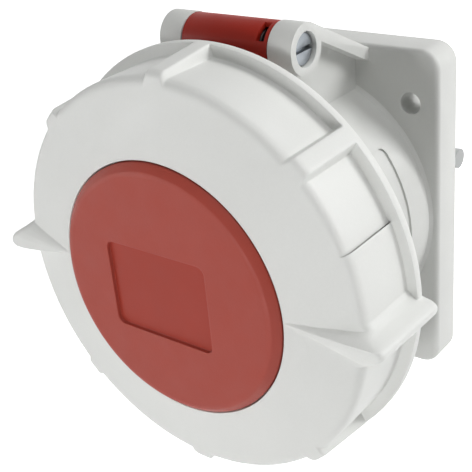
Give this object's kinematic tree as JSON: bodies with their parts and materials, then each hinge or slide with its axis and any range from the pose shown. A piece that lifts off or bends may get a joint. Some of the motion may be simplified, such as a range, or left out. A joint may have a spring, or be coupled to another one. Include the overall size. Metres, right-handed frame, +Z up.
{
  "type": "industrial panel socket",
  "caption": "Round-pin industrial panel socket with a square flange, a hinged sprung lid and a bayonet locking ring.",
  "frame": {"origin": "centre of the four panel screws, on the flange's back face", "axes": "+Z up the panel, with the hinge on top; -Y out of the panel, the way the socket faces; +X to the right seen from the front"},
  "size_m": [0.113, 0.1054, 0.1084],
  "materials": {
    "housing": "satin light grey plastic",
    "ring": "satin light grey plastic",
    "carrier": "matt mid grey plastic",
    "lid": "satin red plastic",
    "disc": "fine textured red plastic",
    "seal": "black elastomer",
    "contact": "turned brass",
    "steel": "bright zinc plated steel"
  },
  "bodies": {
    "socket": {"housing": "housing", "flange_gasket": "seal", "contact_insert": "carrier", "insert_seal": "seal", "terminal_carrier": "carrier", "contact_earth": "contact", "contact_l1": "contact", "contact_l2": "contact", "contact_l3": "contact", "contact_neutral": "contact", "sleeve_springs": "steel", "terminal_screws": "steel", "carrier_screws": "steel", "middle_screw": "steel", "hinge_pin": "steel", "hinge_spring": "steel"},
    "lid": {"lid": "lid", "lid_seal": "seal", "front_disc": "disc", "disc_screws": "steel"},
    "ring": {"bayonet_ring": "ring"}
  },
  "joints": [
    {"name": "lid_hinge", "type": "hinge", "parent": "socket", "child": "lid", "pos_m": [0, -0.0355, 0.0496], "axis": [-1, 0, 0], "range_deg": [0, 130], "stiffness_Nm_per_rad": 0.03, "springref_deg": -68.75, "deforming": ["hinge_spring"]},
    {"name": "ring_turn", "type": "hinge", "parent": "lid", "child": "ring", "pos_m": [0, -0.0592, 0], "axis": [0, 1, 0], "range_deg": [0, 35]}
  ]
}
